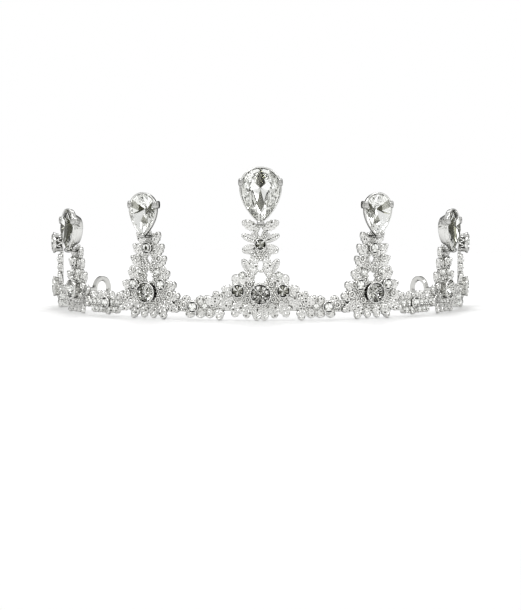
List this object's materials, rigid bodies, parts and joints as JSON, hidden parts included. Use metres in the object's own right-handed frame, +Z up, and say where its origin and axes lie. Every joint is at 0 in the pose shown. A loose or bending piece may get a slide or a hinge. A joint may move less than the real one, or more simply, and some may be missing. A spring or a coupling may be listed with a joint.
{
  "type": "tiara",
  "caption": "Open-backed tiara of polished leaf openwork with round and pear-cut clear stones on tapering spires, and a plain arm with a round loop at each end.",
  "frame": {"origin": "on the ground, under the middle of the whole outline", "axes": "+X to the wearer's left as seen from the front, -Y to the front, +Z up"},
  "size_m": [0.154, 0.1087, 0.0519],
  "materials": {
    "plated_metal": "bright silver plating on a cast alloy, with hatched and beaded leaves",
    "clear_stone": "clear foil-backed cut glass",
    "grey_stone": "smoky grey foil-backed cut glass",
    "small_stone": "small clear foil-backed cut glass"
  },
  "bodies": {
    "root": {"frame": "plated_metal", "arm_left": "plated_metal", "arm_right": "plated_metal", "small_stones_left": "small_stone", "small_stones_right": "small_stone", "pear_centre": "clear_stone", "base_stone_centre": "grey_stone", "neck_stone_centre": "clear_stone", "flank_stone_centre_left": "grey_stone", "flank_stone_centre_right": "grey_stone", "pear_inner_left": "clear_stone", "pear_outer_left": "clear_stone", "base_stone_inner_left": "clear_stone", "base_stone_outer_left": "clear_stone", "base_stone_end_left": "clear_stone", "top_stone_left": "clear_stone", "neck_stone_inner_left": "clear_stone", "neck_stone_outer_left": "clear_stone", "flank_stone_inner_left_near": "clear_stone", "flank_stone_inner_left_far": "clear_stone", "garland_stone_front_left": "clear_stone", "garland_stone_middle_left": "clear_stone", "end_stone_left": "clear_stone", "pear_inner_right": "clear_stone", "pear_outer_right": "clear_stone", "base_stone_inner_right": "clear_stone", "base_stone_outer_right": "clear_stone", "base_stone_end_right": "clear_stone", "top_stone_right": "clear_stone", "neck_stone_inner_right": "clear_stone", "neck_stone_outer_right": "clear_stone", "flank_stone_inner_right_near": "clear_stone", "flank_stone_inner_right_far": "clear_stone", "garland_stone_front_right": "clear_stone", "garland_stone_middle_right": "clear_stone", "end_stone_right": "clear_stone"}
  },
  "joints": []
}
